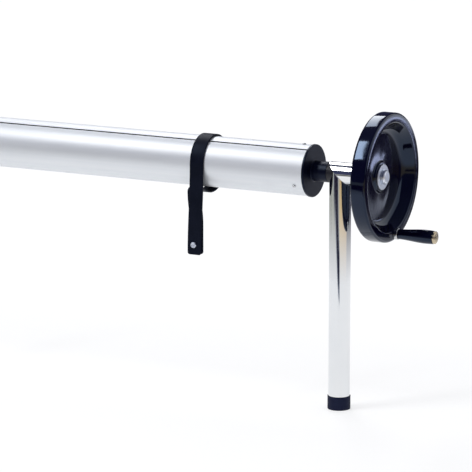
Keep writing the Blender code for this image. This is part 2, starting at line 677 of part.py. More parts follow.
def add_strap(number, x):
    """Strap looped round the roller, its two ends held together by a snap."""
    mesh = bpy.data.meshes.new(f"strap_{number}")
    ribbon = bmesh.new()
    last = None
    for aside, y, z in strap_stations():
        pair = [ribbon.verts.new((aside + side * STRAP_WIDTH / 2, y, z)) for side in (-1, 1)]
        if last:
            ribbon.faces.new((last[0], last[1], pair[1], pair[0]))
        last = pair
    ribbon.to_mesh(mesh)
    ribbon.free()
    strap = add_object(f"strap_{number}", mesh, "strap_rubber", roller_axis)
    strap.location = (x, 0, 0)
    thicken = strap.modifiers.new("thickness", "SOLIDIFY")
    thicken.thickness = STRAP_THICKNESS
    thicken.offset = 0
    thicken.use_even_offset = True

    front = STRAP_MIDDLE_RADIUS + STRAP_THICKNESS / 2
    back = STRAP_MIDDLE_RADIUS - STRAP_LAYER_STEP - STRAP_THICKNESS / 2
    socket_high = back - GAP
    socket_low = socket_high - SNAP_SOCKET_HEIGHT
    cap_low = front + GAP
    cap_high = cap_low + SNAP_CAP_HEIGHT
    snap_cap = turned(f"strap_{number}_snap_cap",
                      rounded([(0, cap_high),
                               (SNAP_CAP_RADIUS, cap_high, SNAP_CAP_ROUND),
                               (SNAP_CAP_RADIUS, cap_low),
                               (SNAP_SHANK_RADIUS, cap_low),
                               (SNAP_SHANK_RADIUS, socket_low),
                               (0, socket_low)]),
                      "steel", roller_axis, SMALL_COUNT // 2)
    snap_socket = turned(f"strap_{number}_snap_socket",
                         ring_outline(SNAP_SOCKET_RADIUS, SNAP_SHANK_RADIUS + GAP,
                                      socket_low, socket_high),
                         "steel", roller_axis, SMALL_COUNT // 2)
    snap_hole = turned(f"strap_{number}_snap_hole",
                       rod_outline(SNAP_SHANK_RADIUS + GAP, 0, cap_high),
                       None, roller_axis, SMALL_COUNT // 2)
    for piece in (snap_cap, snap_socket, snap_hole):
        piece.location = (x + SNAP_ASIDE, 0, -SNAP_DROP)
        point_off_roller(piece, 0)
    cut(strap, snap_hole)


def add_straps():
    """Straps spread evenly along the roller."""
    first = POST_SPACING / 2 - STRAP_FROM_POST
    step = 2 * first / (STRAP_COUNT - 1)
    for number in range(STRAP_COUNT):
        add_strap(number + 1, first - number * step)


clear_scene()
parts = new_collection("pool_cover_reel")
cutters = new_collection("cutters", hidden=True)

roller_axis = add_axis("roller_axis", (ROLLER_MIDDLE_X, 0, AXIS_HEIGHT))
handle_turn = math.radians(HANDLE_ANGLE)
handle_place = (POST_SPACING / 2 + WHEEL_FRONT,
                HANDLE_CENTRE_RADIUS * math.sin(handle_turn),
                -HANDLE_CENTRE_RADIUS * math.cos(handle_turn))
handle_axis = add_axis("handle_axis", handle_place, roller_axis)
grip_axis = add_axis("grip_axis", handle_place, roller_axis)

right_centre = add_stand("right", 1, RIGHT_POST_X)
add_outer_bush("right", 1, right_centre, closed=False)
left_centre = add_stand("left", -1, LEFT_POST_X)
add_outer_bush("left", -1, left_centre, closed=True)

roller_tube = add_roller_tube()
right_cap = add_end_cap("right", 1, roller_tube)
left_cap = add_end_cap("left", -1, roller_tube)
drive_shaft = add_shaft("drive_shaft", 1, right_cap, WHEEL_HUB_FACE - SHAFT_SET_IN)
add_shaft("idle_shaft", -1, left_cap, BEARING_TUBE_REACH - SHAFT_SET_IN)
handwheel = add_handwheel(drive_shaft)
add_handle(handwheel)
add_straps()
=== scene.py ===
"""Looks of the pool cover reel: finer pieces, materials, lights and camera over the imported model.

World axes: +X runs along the roller to the handwheel, +Z is up, -Y is the front. Metres.
"""
import math

import bmesh
import bpy
from mathutils import Matrix, Vector


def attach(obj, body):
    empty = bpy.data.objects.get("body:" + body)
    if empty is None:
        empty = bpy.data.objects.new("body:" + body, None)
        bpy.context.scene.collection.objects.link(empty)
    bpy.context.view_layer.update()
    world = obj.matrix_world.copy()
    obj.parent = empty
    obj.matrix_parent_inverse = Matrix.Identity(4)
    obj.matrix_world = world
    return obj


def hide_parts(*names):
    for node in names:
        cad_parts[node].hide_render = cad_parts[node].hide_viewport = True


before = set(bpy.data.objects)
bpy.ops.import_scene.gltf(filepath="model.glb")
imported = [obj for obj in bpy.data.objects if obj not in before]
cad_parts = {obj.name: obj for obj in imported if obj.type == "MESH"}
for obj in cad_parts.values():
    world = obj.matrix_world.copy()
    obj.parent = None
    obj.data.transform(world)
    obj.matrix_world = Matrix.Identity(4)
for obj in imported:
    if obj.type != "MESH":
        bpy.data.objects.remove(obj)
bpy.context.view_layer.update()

MM = 0.001
GAP = 0.3 * MM

# Main places and sizes, the same as in the part's source
AXIS_HEIGHT = 466.5 * MM
ROLLER_LENGTH = 2400 * MM
ROLLER_RADIUS = 50 * MM
ROLLER_WALL = 2.5 * MM
GROOVE_WIDTH = 3.2 * MM
GROOVE_DEPTH = 1.2 * MM
GROOVE_ANGLE = 62
CAP_FLANGE_RADIUS = 51.5 * MM
CAP_FLANGE = 5 * MM
CAP_SPIGOT = 40 * MM
CAP_WALL = 4 * MM
CAP_HUB_RADIUS = 20 * MM
CAP_HUB_LENGTH = 32.4 * MM
CAP_SLEEVE_WALL = 5 * MM
CAP_SCREW_ANGLES = (-29.6, 90.4, 210.4)
CAP_SCREW_FROM_END = 17.9 * MM
CAP_SCREW_RADIUS = 2 * MM
CAP_SCREW_HEAD_RADIUS = 3.6 * MM
CAP_SCREW_HEAD_HEIGHT = 2 * MM
CAP_SCREW_RECESS_RADIUS = 1.1 * MM
CAP_SCREW_RECESS = 1 * MM
POST_RADIUS = 21.2 * MM
POST_BORE = 19.7 * MM
BEARING_TUBE_REACH = 41.4 * MM
FOOT_RADIUS = 22.5 * MM
FOOT_HEIGHT = 26.5 * MM
FOOT_BASE = 4 * MM
FOOT_RECESS_RADIUS = 14 * MM
FOOT_RECESS = 1 * MM
SHAFT_RADIUS = 12.5 * MM
BUSH_FACE = 44.7 * MM
BUSH_LENGTH = 20 * MM
WHEEL_BACK = 45 * MM
WHEEL_HUB_LENGTH = 43 * MM
WHEEL_DISH = 22 * MM
WHEEL_RADIUS = 125 * MM
WHEEL_RIM_WIDTH = 32 * MM
WHEEL_RIM_DEPTH = 19 * MM
WHEEL_HUB_RADIUS = 28 * MM
WHEEL_HUB_BACK_RADIUS = 21 * MM
WHEEL_WEB = 7 * MM
WHEEL_WEB_SINK = 4 * MM
WHEEL_BOWL_SLOPE = 12 * MM
KEYWAY_WIDTH = 8.6 * MM
KEYWAY_HEIGHT = 16 * MM
KEYWAY_RISE = 7.8 * MM
HUB_FACE = WHEEL_BACK + WHEEL_HUB_LENGTH
WHEEL_FRONT = HUB_FACE + WHEEL_DISH
HUB_WASHER_RADIUS = 24.5 * MM
HUB_WASHER_BORE = 6.3 * MM
HUB_WASHER_THICKNESS = 3 * MM
HUB_BOLT_RADIUS = 6 * MM
HUB_BOLT_REACH = 25 * MM
HUB_BOLT_HEAD_RADIUS = 14 * MM
HUB_BOLT_HEAD_HEIGHT = 8 * MM
HANDLE_CENTRE_RADIUS = 112.5 * MM
HANDLE_ANGLE = 8
GRIP_LENGTH = 73.5 * MM
SPINDLE_RADIUS = 5.5 * MM
SPINDLE_STUD_RADIUS = 5 * MM
SPINDLE_PAST_RIM = 10 * MM
SPINDLE_NECK_RADIUS = 4 * MM
SPINDLE_NECK_LENGTH = 4 * MM
SPINDLE_COLLAR_RADIUS = 11 * MM
SPINDLE_COLLAR = 7.5 * MM
NUT_FLATS = 17 * MM
NUT_THICKNESS = 8 * MM
NUT_CHAMFER = 0.9 * MM
END_CAP_RADIUS = 12.3 * MM
END_CAP_HEIGHT = 5.6 * MM
END_CAP_RIM = 3 * MM
STRAP_WIDTH = 30 * MM
STRAP_THICKNESS = 3 * MM
STRAP_EDGE = 1.1 * MM
STRAP_END_CORNER = 5 * MM
STRAP_MIDDLE_RADIUS = ROLLER_RADIUS + GAP + STRAP_THICKNESS / 2
STRAP_LAYER_STEP = STRAP_THICKNESS + GAP
STRAP_LIFT = 1.2 * MM
STRAP_TAIL_DROP = 179 * MM
STRAP_BACK_TAIL_DROP = 177 * MM
STRAP_LEAVES_AT = 215
STRAP_SLACK_DROP = 59 * MM
STRAP_TURN_DROP = 48.5 * MM
STRAP_BEND_RADIUS = 6 * MM
STRAP_SETTLES_AT = 117 * MM
SNAP_DROP = 159 * MM
SNAP_ASIDE = -5.5 * MM
SNAP_HEIGHT = 2.4 * MM
SNAP_CAP_RADIUS = 6 * MM
SNAP_SHANK_RADIUS = 1.6 * MM
SNAP_SOCKET_RADIUS = 5.5 * MM

RIGHT_POST_X = 1.18315
LEFT_POST_X = -1.33625
MIDDLE_X = (LEFT_POST_X + RIGHT_POST_X) / 2
STRAP_PLACES = (0.89615, 0.24768, -0.40078, -1.04925)

# Where the photograph was taken from
CAMERA_AZIMUTH = 27.47833
CAMERA_ELEVATION = 11.51808
CAMERA_DISTANCE = 6.46642
CAMERA_TARGET = Vector((RIGHT_POST_X - 0.22648, 0, AXIS_HEIGHT - 0.14477))
CAMERA_LENS = 3291.68 / 472 * 36

# Flags about the right stand: reach in metres, angles in degrees from the front (-Y) towards +X
FLAG_NEAR = 1.2
FLAG_FAR = 2.1
ROOM_RADIUS = 14
SOFTBOX_DISTANCE = 10
WINDOW_AZIMUTH = (80, 165)
WINDOW_SILL = 3
WINDOW_TOP = 42
# Colours of the floor flag by azimuth, painted reflections: a warm band for the gold streak in the post,
# dark ranges behind for the handwheel
FLOOR_SHADES = ((-180, (0.05, 0.05, 0.08)), (-130, (0.40, 0.41, 0.39)), (-60, (0.46, 0.47, 0.43)),
                (10, (0.50, 0.47, 0.40)), (22, (0.72, 0.54, 0.28)), (92, (0.64, 0.44, 0.21)),
                (102, (0.03, 0.025, 0.04)), (180, (0.02, 0.02, 0.05)))
# Outline of a dark sheet, seen only in reflections, that paints the roller's shadow into the post as painted
# shade
ROLLER_SHADOW_SHEET = ((0.36, -1), (0.44, -1.4), (0.02, -2.1), (-0.35, -4), (-5, -4), (-1.6, -1.6), (-0.7, -1.85),
              (-0.1, -1.5))
# Outline of a blue-grey sheet round the dark one, the softer edge of the roller's shadow painted into the
# post's reflections
SHADOW_FRINGE_SHEET = ((0.42, -0.88), (0.6, -1.38), (0.16, -2.15), (-0.2, -4.1), (-5, -4.1), (-1.8, -1.45),
              (-0.75, -1.7), (-0.22, -1.42), (0.3, -0.95))
# Outline of a dark sheet, seen only in reflections, that paints shade into the handwheel's inner wall
WHEEL_SHADE_SHEET = ((1, -2.35), (1.9, -2.1), (3.6, -3.6), (1.2, -4.6), (0.6, -3.6))
# Outlines of pale glowing sheets, seen only in reflections, that paint pale reflections into the handwheel's
# dish
WHEEL_REFLECTION_SHEETS = (((0.91, 1.75), (0.98, 1.88), (1.03, 2.02), (0.985, 1.985), (0.93, 1.88), (0.9, 1.781)),
               ((1.12, 2.265), (1.075, 2.245), (0.99, 2.1), (0.925, 1.95), (0.935, 1.905), (1.03, 2.07)),
               ((0.99, 2.067), (0.972, 2.078), (0.946, 2.017), (0.964, 2.008)),
               ((1.62, 3.15), (0.9, 3.4), (0.5, 9), (5, 9), (2.6, 3.15)))
# Outline of a bright glowing strip, seen only in reflections, that paints a highlight line into the
# handwheel
WHEEL_HIGHLIGHT_SHEET = ((1.30, 2.42), (1.34, 2.52), (1.392, 2.665), (1.446, 2.815), (1.507, 3.0), (1.545, 3.115),
                (1.49, 3.05), (1.42, 2.93), (1.37, 2.84), (1.35, 2.87), (1.44, 3.05), (1.53, 3.22),
                (1.62, 3.4), (1.8, 3.4), (1.6, 2.9), (1.42, 2.42))


def add_node(tree, kind, sockets=None, **settings):
    """Adds a shader node, with its settings and what goes into its sockets."""
    made = tree.nodes.new(kind)
    for name, value in settings.items():
        setattr(made, name, value)
    for name, value in (sockets or {}).items():
        if isinstance(value, bpy.types.NodeSocket):
            tree.links.new(value, made.inputs[name])
        else:
            made.inputs[name].default_value = value
    return made


def coordinates(tree, stretch=(1, 1, 1)):
    """The object's own coordinates, scaled along each axis."""
    source = add_node(tree, "ShaderNodeTexCoord")
    mapping = add_node(tree, "ShaderNodeMapping", {"Vector": source.outputs["Object"], "Scale": stretch})
    return mapping.outputs["Vector"]


def noise(tree, scale, detail=3.0, stretch=(1, 1, 1)):
    """Noise value over the object's own coordinates."""
    made = add_node(tree, "ShaderNodeTexNoise", {"Vector": coordinates(tree, stretch), "Scale": scale,
                                                 "Detail": detail, "Roughness": 0.55})
    return made.outputs["Fac"]


def spread(tree, value, low=0, high=1, start=0.3, end=0.7):
    """Maps a value between start and end to one between low and high."""
    made = add_node(tree, "ShaderNodeMapRange",
                    {"Value": value, "From Min": start, "From Max": end, "To Min": low, "To Max": high})
    return made.outputs["Result"]


def arithmetic(tree, operation, first, second=0.0):
    """Result of a calculation on two values."""
    made = add_node(tree, "ShaderNodeMath", {0: first, 1: second}, operation=operation)
    return made.outputs["Value"]


def added(tree, first, second):
    """Sum of two values."""
    return arithmetic(tree, "ADD", first, second)


def reach_over(tree, place, *axes):
    """How far a split place lies from the middle, counted over two of its axes."""
    flat = add_node(tree, "ShaderNodeCombineXYZ", {axis: place.outputs[axis] for axis in axes})
    length = add_node(tree, "ShaderNodeVectorMath", {0: flat.outputs["Vector"]}, operation="LENGTH")
    return length.outputs["Value"]


def blend(tree, value, first, second):
    """Colour between two others."""
    made = add_node(tree, "ShaderNodeMix", {"Factor": value}, data_type="RGBA")
    for socket, colour in ((made.inputs[6], first), (made.inputs[7], second)):
        if isinstance(colour, bpy.types.NodeSocket):
            tree.links.new(colour, socket)
        else:
            socket.default_value = (*colour, 1)
    return made.outputs[2]


def bump(tree, height, strength, distance, below=None):
    """Normal bent by a height, on top of another normal where one is given."""
    sockets = {"Height": height, "Strength": strength, "Distance": distance}
    if below:
        sockets["Normal"] = below
    return add_node(tree, "ShaderNodeBump", sockets).outputs["Normal"]


def new_material(name, **values):
    """New material and its node tree; the values go on the shader's sockets, underscores for spaces."""
    made = bpy.data.materials.new(name)
    made.use_nodes = True
    for socket, value in values.items():
        made.node_tree.nodes["Principled BSDF"].inputs[socket.replace("_", " ")].default_value = value
    return made, made.node_tree


def finished(made, colour, rough, normal):
    """The material once its shader's colour, roughness and normal are connected."""
    shader = made.node_tree.nodes["Principled BSDF"]
    for socket, source in (("Base Color", colour), ("Roughness", rough), ("Normal", normal)):
        made.node_tree.links.new(source, shader.inputs[socket])
    return made


def polished_steel():
    """Polished stainless tube with faint polishing lines along it and handling marks."""
    made, tree = new_material("polished_stainless", Metallic=1)
    lines = noise(tree, 900, 2, (1, 1, 0.004))
    smears = noise(tree, 14, 4, (1, 1, 0.35))
    spots = noise(tree, 160, 2)
    colour = blend(tree, spread(tree, smears), (0.74, 0.76, 0.78), (0.80, 0.81, 0.82))
    rough = added(tree, spread(tree, smears, 0.035, 0.10), spread(tree, lines, 0.0, 0.03))
    rough = added(tree, rough, spread(tree, spots, 0, 0.05, 0.62, 0.8))
    normal = bump(tree, lines, 0.05, 0.00005)
    return finished(made, colour, rough, normal)


def anodised_aluminium():
    """Satin extruded tube: die lines along it, soft tone bands, light scuffs round it and painted shade in
    its groove.
    """
    made, tree = new_material("anodised_aluminium", Metallic=0.60, Specular_IOR_Level=0.3)
    lines = noise(tree, 700, 3, (0.0015, 1, 1))
    bands = noise(tree, 70, 2, (0.004, 1, 1))
    cloud = noise(tree, 9, 4, (0.3, 1, 1))
    scuffs = noise(tree, 55, 4, (0.15, 1, 1))
    tone = blend(tree, spread(tree, bands), (0.84, 0.87, 0.90), (0.89, 0.91, 0.93))
    tone = blend(tree, spread(tree, scuffs, 0, 0.3, 0.66, 0.8), tone, (0.76, 0.79, 0.82))
    rough = added(tree, spread(tree, cloud, 0.44, 0.49), spread(tree, lines, 0, 0.05))
    rough = added(tree, rough, spread(tree, scuffs, 0, 0.1, 0.6, 0.8))
    place = add_node(tree, "ShaderNodeSeparateXYZ", {"Vector": coordinates(tree)})
    reach = reach_over(tree, place, "Y", "Z")
    # painted shade: the groove's walls and floor are painted near black and made rougher, standing in for
    # the shade inside the recess
    groove_shade = spread(tree, reach, 1, 0, ROLLER_RADIUS - 0.2 * MM, ROLLER_RADIUS - 0.06 * MM)
    outside = spread(tree, reach, 0, 1, ROLLER_RADIUS - 1.7 * MM, ROLLER_RADIUS - 1.5 * MM)
    groove_shade = arithmetic(tree, "MULTIPLY", groove_shade, outside)
    tone = blend(tree, groove_shade, tone, (0.010, 0.006, 0.009))
    rough = added(tree, rough, arithmetic(tree, "MULTIPLY", groove_shade, 0.5))
    normal = bump(tree, lines, 0.10, 0.0001)
    return finished(made, tone, rough, normal)


def gloss_black(name, wear=0.0):
    """Glossy moulded black: a faint waviness, a film of fine marks and duller worn patches."""
    made, tree = new_material(name, Specular_IOR_Level=0.55, Specular_Tint=(0.50, 0.68, 1.0, 1))
    waves = noise(tree, 60, 2)
    marks = noise(tree, 900, 3, (1, 1, 0.2))
    patches = noise(tree, 16, 4)
    colour = blend(tree, spread(tree, patches), (0.0012, 0.0008, 0.008), (0.0025, 0.002, 0.012))
    rough = added(tree, spread(tree, patches, 0.04, 0.10 + wear), spread(tree, marks, 0, 0.04, 0.5, 0.75))
    normal = bump(tree, waves, 0.04, 0.0005)
    normal = bump(tree, marks, 0.03, 0.0001, normal)
    return finished(made, colour, rough, normal)


def satin_black():
    """Moulded cap plastic with a fine eroded grain and faint flow shades."""
    made, tree = new_material("satin_black_plastic", Specular_IOR_Level=0.28,
                              Specular_Tint=(0.60, 0.76, 1.0, 1))
    grain = noise(tree, 1500, 2)
    flow = noise(tree, 25, 3)
    dust = noise(tree, 220, 4)
    colour = blend(tree, spread(tree, flow), (0.0008, 0.0009, 0.010), (0.0022, 0.0024, 0.017))
    colour = blend(tree, spread(tree, dust, 0, 0.16, 0.6, 0.8), colour, (0.03, 0.035, 0.05))
    rough = added(tree, spread(tree, flow, 0.28, 0.36), spread(tree, grain, 0, 0.12))
    normal = bump(tree, grain, 0.25, 0.0001)
    return finished(made, colour, rough, normal)


def rubber(name, dark, light, rough_low, rough_high, grain_scale):
    """Moulded rubber with a grain, paler rubbed places and a trace of bloom."""
    made, tree = new_material(name, Specular_IOR_Level=0.2, Specular_Tint=(0.55, 0.72, 1.0, 1))
    grain = noise(tree, grain_scale, 3)
    rubbed = noise(tree, 30, 4)
    bloom = noise(tree, 320, 3)
    colour = blend(tree, spread(tree, rubbed, 0, 1, 0.35, 0.75), dark, light)
    colour = blend(tree, spread(tree, bloom, 0, 0.3, 0.6, 0.8), colour, (0.03, 0.034, 0.055))
    rough = added(tree, spread(tree, rubbed, rough_low, rough_high), spread(tree, grain, 0, 0.1))
    normal = bump(tree, grain, 0.35, 0.00012)
    return finished(made, colour, rough, normal)


def nylon():
    """Machined black nylon with turning marks about its axis."""
    made, tree = new_material("black_nylon")
    turning = noise(tree, 1400, 2, (0.02, 0.02, 1))
    mottle = noise(tree, 70, 3)
    colour = blend(tree, spread(tree, mottle), (0.006, 0.006, 0.012), (0.014, 0.014, 0.022))
    rough = added(tree, spread(tree, mottle, 0.38, 0.5), spread(tree, turning, 0, 0.1))
    return finished(made, colour, rough, bump(tree, turning, 0.2, 0.0001))


def turned_metal(name, dark, light, rough_low, rough_high):
    """Plated turned metal: fine rings about its own Z, small pits and a little tarnish."""
    made, tree = new_material(name, Metallic=1)
    place = add_node(tree, "ShaderNodeSeparateXYZ", {"Vector": coordinates(tree)})
    ring_place = add_node(tree, "ShaderNodeCombineXYZ",
                          {"X": reach_over(tree, place, "X", "Y"), "Z": place.outputs["Z"]})
    rings = add_node(tree, "ShaderNodeTexNoise", {"Vector": ring_place.outputs["Vector"], "Scale": 2600.0,
                                                  "Detail": 2.0}).outputs["Fac"]
    tarnish = noise(tree, 90, 4)
    pits = noise(tree, 1100, 2)
    colour = blend(tree, spread(tree, tarnish), light, dark)
    rough = added(tree, spread(tree, tarnish, rough_low, rough_high), spread(tree, pits, 0, 0.08, 0.6, 0.8))
    return finished(made, colour, rough, bump(tree, rings, 0.10, 0.00005))


STAINLESS = polished_steel()
ALUMINIUM = anodised_aluminium()
WHEEL_BLACK = gloss_black("gloss_black_wheel")
GRIP_BLACK = gloss_black("gloss_black_grip", 0.06)
CAP_BLACK = satin_black()
STRAP_RUBBER = rubber("strap_rubber", (0.0010, 0.0010, 0.0070), (0.0035, 0.0040, 0.0130), 0.38, 0.5, 1100)
FOOT_RUBBER = rubber("foot_rubber", (0.008, 0.009, 0.030), (0.015, 0.017, 0.045), 0.5, 0.62, 700)
NYLON = nylon()
STEEL = turned_metal("plated_steel", (0.50, 0.51, 0.52), (0.66, 0.67, 0.69), 0.14, 0.26)
BRIGHT_STEEL = turned_metal("bright_zinc", (0.62, 0.67, 0.78), (0.82, 0.87, 0.97), 0.36, 0.50)
WARM_STEEL = turned_metal("warm_steel", (0.42, 0.35, 0.25), (0.60, 0.52, 0.38), 0.20, 0.32)


def arc_corner(before, corner, after, radius):
    """Points of an arc that rounds one corner of an outline."""
    to_before = (before - corner).normalized()
    to_after = (after - corner).normalized()
    half = to_before.angle(to_after) / 2
    reach = radius / math.tan(half)
    centre = corner + (to_before + to_after).normalized() * (radius / math.sin(half))
    start = corner + to_before * reach - centre
    end = corner + to_after * reach - centre
    sweep = start.angle_signed(end)
    steps = max(3, math.ceil(abs(math.degrees(sweep)) / 9))
    points = []
    for step in range(steps + 1):
        turn = -sweep * step / steps
        points.append(centre + Vector((start.x * math.cos(turn) - start.y * math.sin(turn),
                                       start.x * math.sin(turn) + start.y * math.cos(turn))))
    return points


def rounded(corners):
    """Outline of (radius, height) points from corners that may carry a rounding radius."""
    points = []
    for index, corner in enumerate(corners):
        here = Vector(corner[:2])
        if len(corner) == 2:
            points.append(here)
            continue
        before = Vector(corners[index - 1][:2])
        after = Vector(corners[(index + 1) % len(corners)][:2])
        points.extend(arc_corner(before, here, after, corner[2]))
    return points


def close_shape(shape, name):
    """Turns a finished bmesh with outward normals into a mesh."""
    bmesh.ops.recalc_face_normals(shape, faces=shape.faces)
    mesh = bpy.data.meshes.new(name)
    shape.to_mesh(mesh)
    shape.free()
    return mesh


def circle(radius, steps):
    """Points round a circle about the origin."""
    return [(radius * math.cos(math.tau * i / steps), radius * math.sin(math.tau * i / steps))
            for i in range(steps)]


def join_loops(shape, one, other):
    """Faces between two closed loops of as many points."""
    for i in range(len(one)):
        j = (i + 1) % len(one)
        shape.faces.new((one[i], one[j], other[j], other[i]))


def lathe(name, outline, facets=96):
    """Closed solid turned about its own Z. The outline runs out along the top, down and back in."""
    shape = bmesh.new()
    rings = []
    for radius, height in outline:
        if radius < 0.001 * MM:
            rings.append([shape.verts.new((0, 0, height))])
            continue
        rings.append([shape.verts.new((x, y, height)) for x, y in circle(radius, facets)])
    pairs = list(zip(rings, rings[1:]))
    if len(rings[0]) > 1:
        pairs.append((rings[-1], rings[0]))
    for one, other in pairs:
        for i in range(facets):
            j = (i + 1) % facets
            corners = [one[i % len(one)], other[i % len(other)], other[j % len(other)], one[j % len(one)]]
            corners = list(dict.fromkeys(corners))
            if len(corners) > 2:
                shape.faces.new(corners)
    return close_shape(shape, name)


def ring(outer, inner, low, high):
    """Outline of a plain tube."""
    return [(inner, high), (outer, high), (outer, low), (inner, low)]


UPRIGHT = (0, 0, 0)


def outwards(side):
    """Turn that points an object's own Z along the roller, away from its middle."""
    return (0, side * math.pi / 2, 0)


def off_roller(angle):
    """Turn that points an object's own Z away from the roller, at degrees above the front."""
    return (math.radians(90 - angle), 0, 0)


def new_object(name, data, place, turn=UPRIGHT):
    """Links a mesh, lamp or camera at a place."""
    thing = bpy.data.objects.new(name, data)
    bpy.context.scene.collection.objects.link(thing)
    thing.location = place
    thing.rotation_euler = turn
    return thing


def carve(thing, *cutters):
    """Takes the cutters' shapes out of a piece for good."""
    for cutter in cutters:
        cut = thing.modifiers.new("cut", "BOOLEAN")
        cut.operation = "DIFFERENCE"
        cut.solver = "EXACT"
        cut.object = cutter
    graph = bpy.context.evaluated_depsgraph_get()
    mesh = bpy.data.meshes.new_from_object(thing.evaluated_get(graph))
    thing.modifiers.clear()
    thing.data = mesh
    for cutter in cutters:
        bpy.data.objects.remove(cutter, do_unlink=True)


def drill(radius, low, high, place, turn, facets):
    """Rod for carve to make a round hole with."""
    outline = [(0, high), (radius, high), (radius, low), (0, low)]
    return new_object("drill", lathe("drill", outline, facets), place, turn)


def dress(thing, material, body, slot, *nodes, smooth=32):
    """Shades a piece, gives it its material, and hangs it on its body in place of CAD nodes."""
    thing.data.materials.clear()
    thing.data.materials.append(material)
    thing.data.shade_smooth()
    thing.data.set_sharp_from_angle(angle=math.radians(smooth))
    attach(thing, body)
    if nodes:
        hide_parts(*nodes)


def turned(name, corners, place, turn, material, body="roller", slot="steel", facets=96):
    """Lathed piece in place of the CAD node of that name, from corners that may carry a rounding radius."""
    piece = new_object(name + "_piece", lathe(name, rounded(corners), facets), place, turn)
    dress(piece, material, body, slot, name)


def add_stand(side_name, side, post_x):
    """Post, bearing tube, weld and foot of one stand."""
    centre = (post_x, 0, AXIS_HEIGHT)
    base = FOOT_BASE + GAP
    mesh = lathe("post", ring(POST_RADIUS, POST_BORE, base, AXIS_HEIGHT), 144)
    for vertex in mesh.vertices:
        if vertex.co.z > AXIS_HEIGHT / 2:
            vertex.co.z = AXIS_HEIGHT - side * vertex.co.x - GAP / math.sqrt(2)
    post = new_object(side_name + "_post_piece", mesh, (post_x, 0, 0))
    carve(post, drill(POST_BORE, -2 * POST_RADIUS, 0, centre, outwards(side), 96))
    dress(post, STAINLESS, "stands", "stainless", side_name + "_post")

    mesh = lathe("bearing_tube", ring(POST_RADIUS, POST_BORE, 0, BEARING_TUBE_REACH), 144)
    for vertex in mesh.vertices:
        if vertex.co.z < BEARING_TUBE_REACH / 2:
            vertex.co.z = vertex.co.x + GAP / math.sqrt(2)
    tube = new_object(side_name + "_bearing_tube_piece", mesh, centre, outwards(side))
    dress(tube, STAINLESS, "stands", "stainless", side_name + "_bearing_tube")

    add_weld(side_name, side, centre)

    turned(side_name + "_foot",
           [(0, FOOT_BASE), (POST_RADIUS + GAP, FOOT_BASE), (POST_RADIUS + GAP, FOOT_HEIGHT, 0.3 * MM),
            (FOOT_RADIUS, FOOT_HEIGHT, 0.4 * MM), (FOOT_RADIUS, 0, 0.9 * MM),
            (FOOT_RECESS_RADIUS + FOOT_RECESS, 0, 0.3 * MM), (FOOT_RECESS_RADIUS, FOOT_RECESS, 0.3 * MM),
            (0, FOOT_RECESS)],
           (post_x, 0, 0), UPRIGHT, FOOT_RUBBER, "stands", "foot_rubber", 128)


def add_weld(side_name, side, centre):
    """Thin ground weld that closes the mitre between post and bearing tube."""
    shape = bmesh.new()
    bead = 0.55 * MM
    rings = []
    for x, y in circle(1, 144):
        middle = Vector((x, y, -side * x)) * POST_RADIUS
        flat = Vector((x, y, -side * x * 0.5)).normalized() * 0.35 * bead
        high = Vector((side, 0, 1)).normalized() * bead
        rings.append([shape.verts.new(middle + flat * out + high * up) for out, up in circle(1, 8)])
    for one, other in zip(rings, rings[1:] + rings[:1]):
        join_loops(shape, one, other)
    weld = new_object(side_name + "_mitre_weld", close_shape(shape, "weld"), centre)
    dress(weld, STEEL, "stands", "stainless", smooth=60)


def add_outer_bush(side_name, side, post_x, closed):
    """Flanged bush in the open end of a bearing tube; a closed one covers the shaft's end."""
    low = BEARING_TUBE_REACH + GAP
    end = low - BUSH_LENGTH
    bore = SHAFT_RADIUS + GAP
    inside = POST_BORE - GAP
    outside = [(POST_RADIUS, BUSH_FACE, 0.6 * MM), (POST_RADIUS, low, 0.2 * MM),
               (inside, low), (inside, end, 0.5 * MM), (bore, end)]
    if closed:
        outline = [(0, BUSH_FACE)] + outside + [(bore, low), (0, low)]
    else:
        outline = [(bore, BUSH_FACE)] + outside
    turned(side_name + "_outer_bush", outline, (post_x, 0, AXIS_HEIGHT), outwards(side),
           NYLON, "stands", "nylon")


def add_roller_tube():
    """Extruded tube whose section carries the groove with rounded lips."""
    outer, inner = ROLLER_RADIUS, ROLLER_RADIUS - ROLLER_WALL
    half_width = GROOVE_WIDTH / 2
    lip = 0.35 * MM
    facets = 240
    middle = math.radians(GROOVE_ANGLE)
    half_angle = (half_width + lip) / outer
    section = []
    for i in range(facets + 1):
        turn = middle + half_angle + (2 * math.pi - 2 * half_angle) * i / facets
        section.append(Vector((-outer * math.cos(turn), outer * math.sin(turn))))
    out = Vector((-math.cos(middle), math.sin(middle)))
    across = Vector((-math.sin(middle), -math.cos(middle)))
    floor = outer - GROOVE_DEPTH
    for side, order in ((1, (0, 1, 2)), (-1, (2, 1, 0))):
        wall = [out * (outer - 0.12 * MM) + across * side * (half_width + 0.1 * MM),
                out * (outer - 0.4 * MM) + across * side * half_width,
                out * floor + across * side * half_width]
        section.extend(wall[step] for step in order)
    bore = [Vector((-x, y)) for x, y in circle(inner, facets)]
    shape = bmesh.new()
    half = ROLLER_LENGTH / 2
    edges = []
    for loop in (section, bore):
        points = [shape.verts.new((-half, point.x, point.y)) for point in loop]
        edges += [shape.edges.new((one, other)) for one, other in zip(points, points[1:] + points[:1])]
    bmesh.ops.triangle_fill(shape, use_beauty=True, use_dissolve=False, edges=edges)
    grown = bmesh.ops.extrude_face_region(shape, geom=list(shape.faces), use_keep_orig=True)
    moved = [item for item in grown["geom"] if isinstance(item, bmesh.types.BMVert)]
    bmesh.ops.translate(shape, vec=(2 * half, 0, 0), verts=moved)
    tube = new_object("roller_tube_piece", close_shape(shape, "roller_tube"), (MIDDLE_X, 0, AXIS_HEIGHT))
    dress(tube, ALUMINIUM, "roller", "aluminium", "roller_tube", smooth=28)


